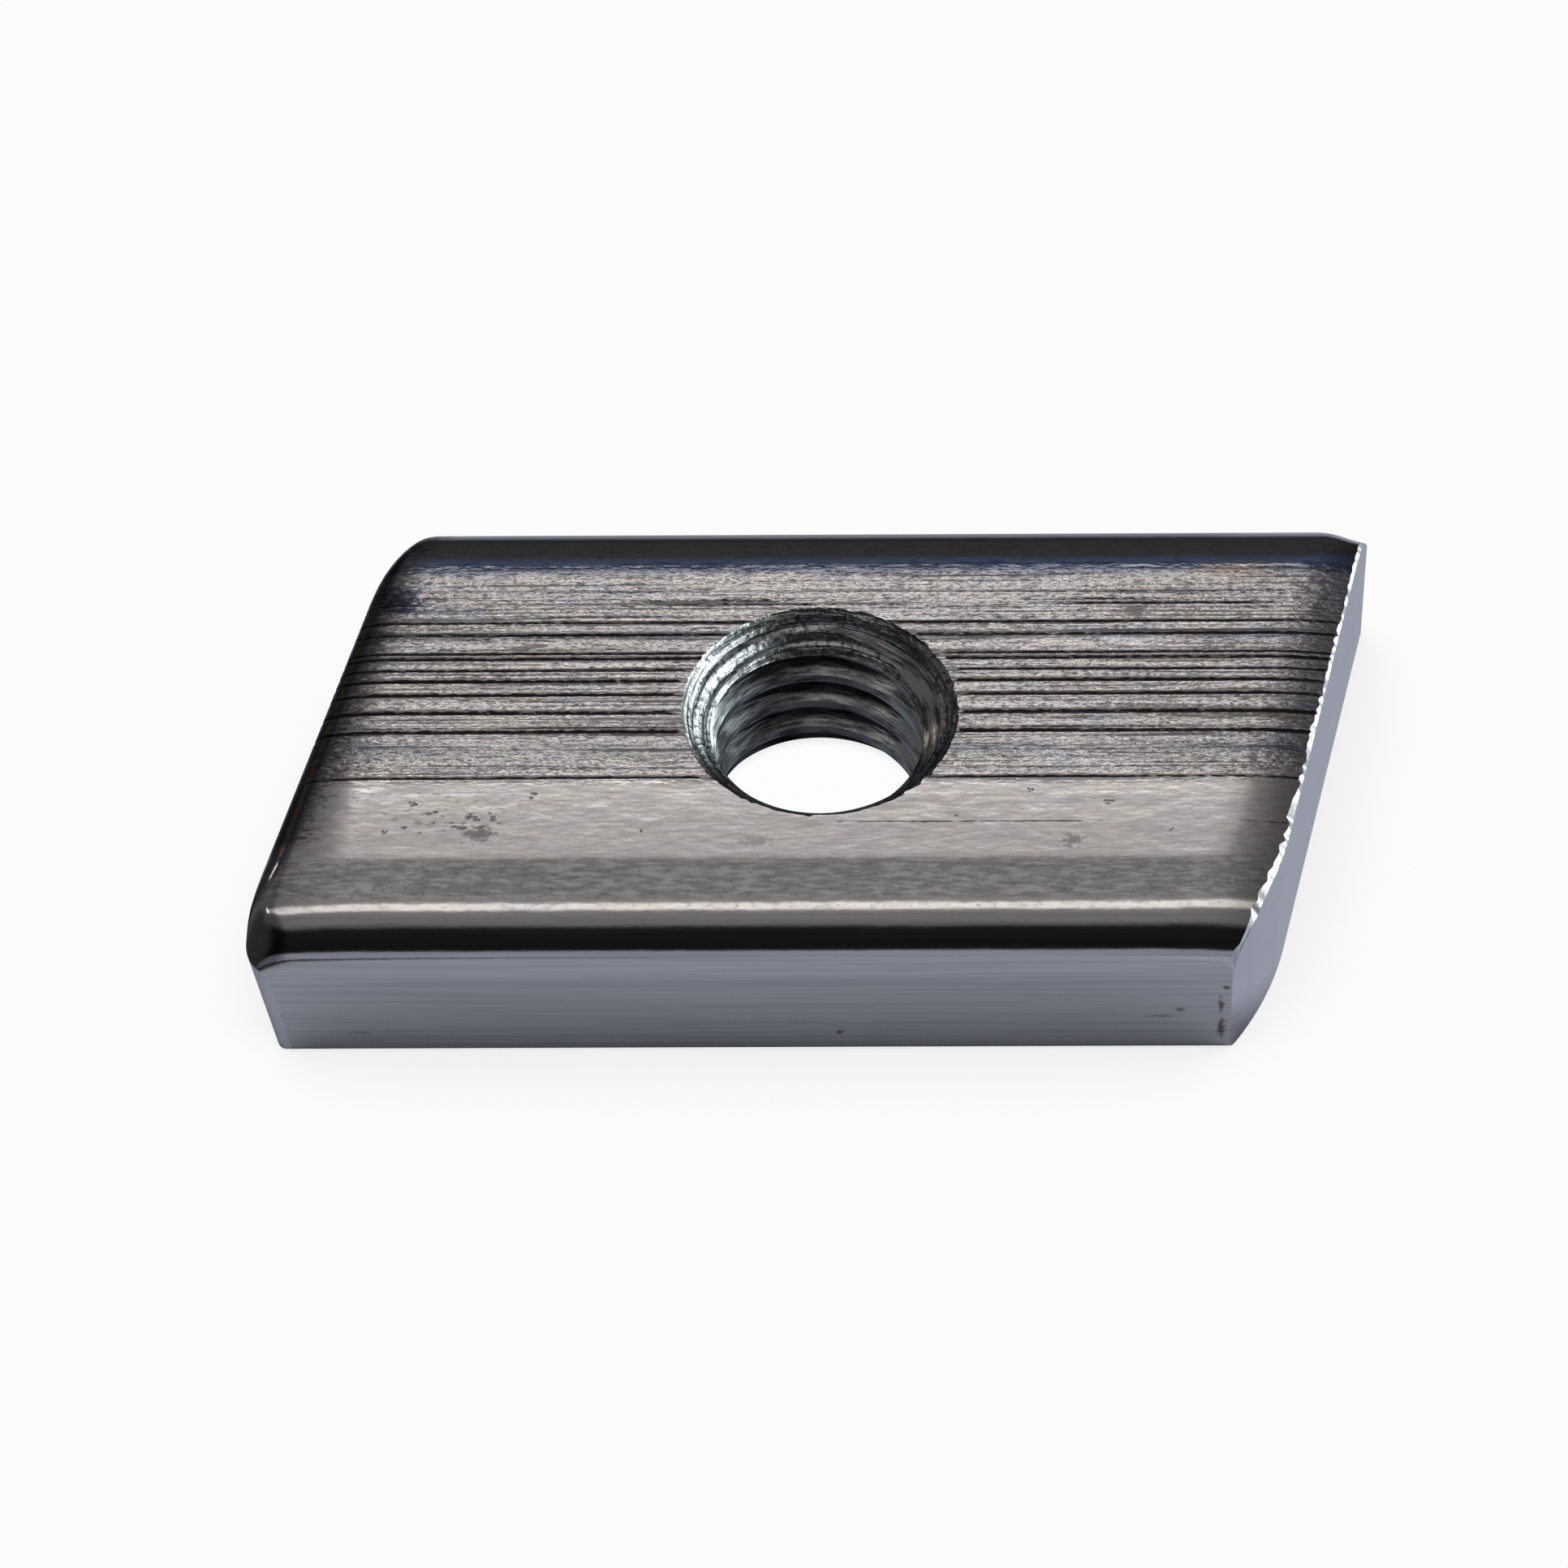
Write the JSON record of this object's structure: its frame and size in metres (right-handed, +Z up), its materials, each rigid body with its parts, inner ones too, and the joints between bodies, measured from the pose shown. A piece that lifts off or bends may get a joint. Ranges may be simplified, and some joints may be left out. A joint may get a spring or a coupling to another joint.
{
  "type": "t slot nut",
  "caption": "Rhombus T slot nut cropped from drawn steel bar, rolled along its long top edges and tapped M8 through its middle.",
  "frame": {"origin": "on the thread's axis at the underside", "axes": "+X along the drawn bar towards the end with the burred top edge, +Y across the bar, +Z up the thread out of the face with the rolled long edges"},
  "size_m": [0.036, 0.018, 0.006],
  "materials": {
    "plated_steel": "zinc plated over cold drawn steel: bright, with drawing lines and pits along the top, smooth cropped ends"
  },
  "bodies": {
    "root": {"slot_nut": "plated_steel"}
  },
  "joints": []
}
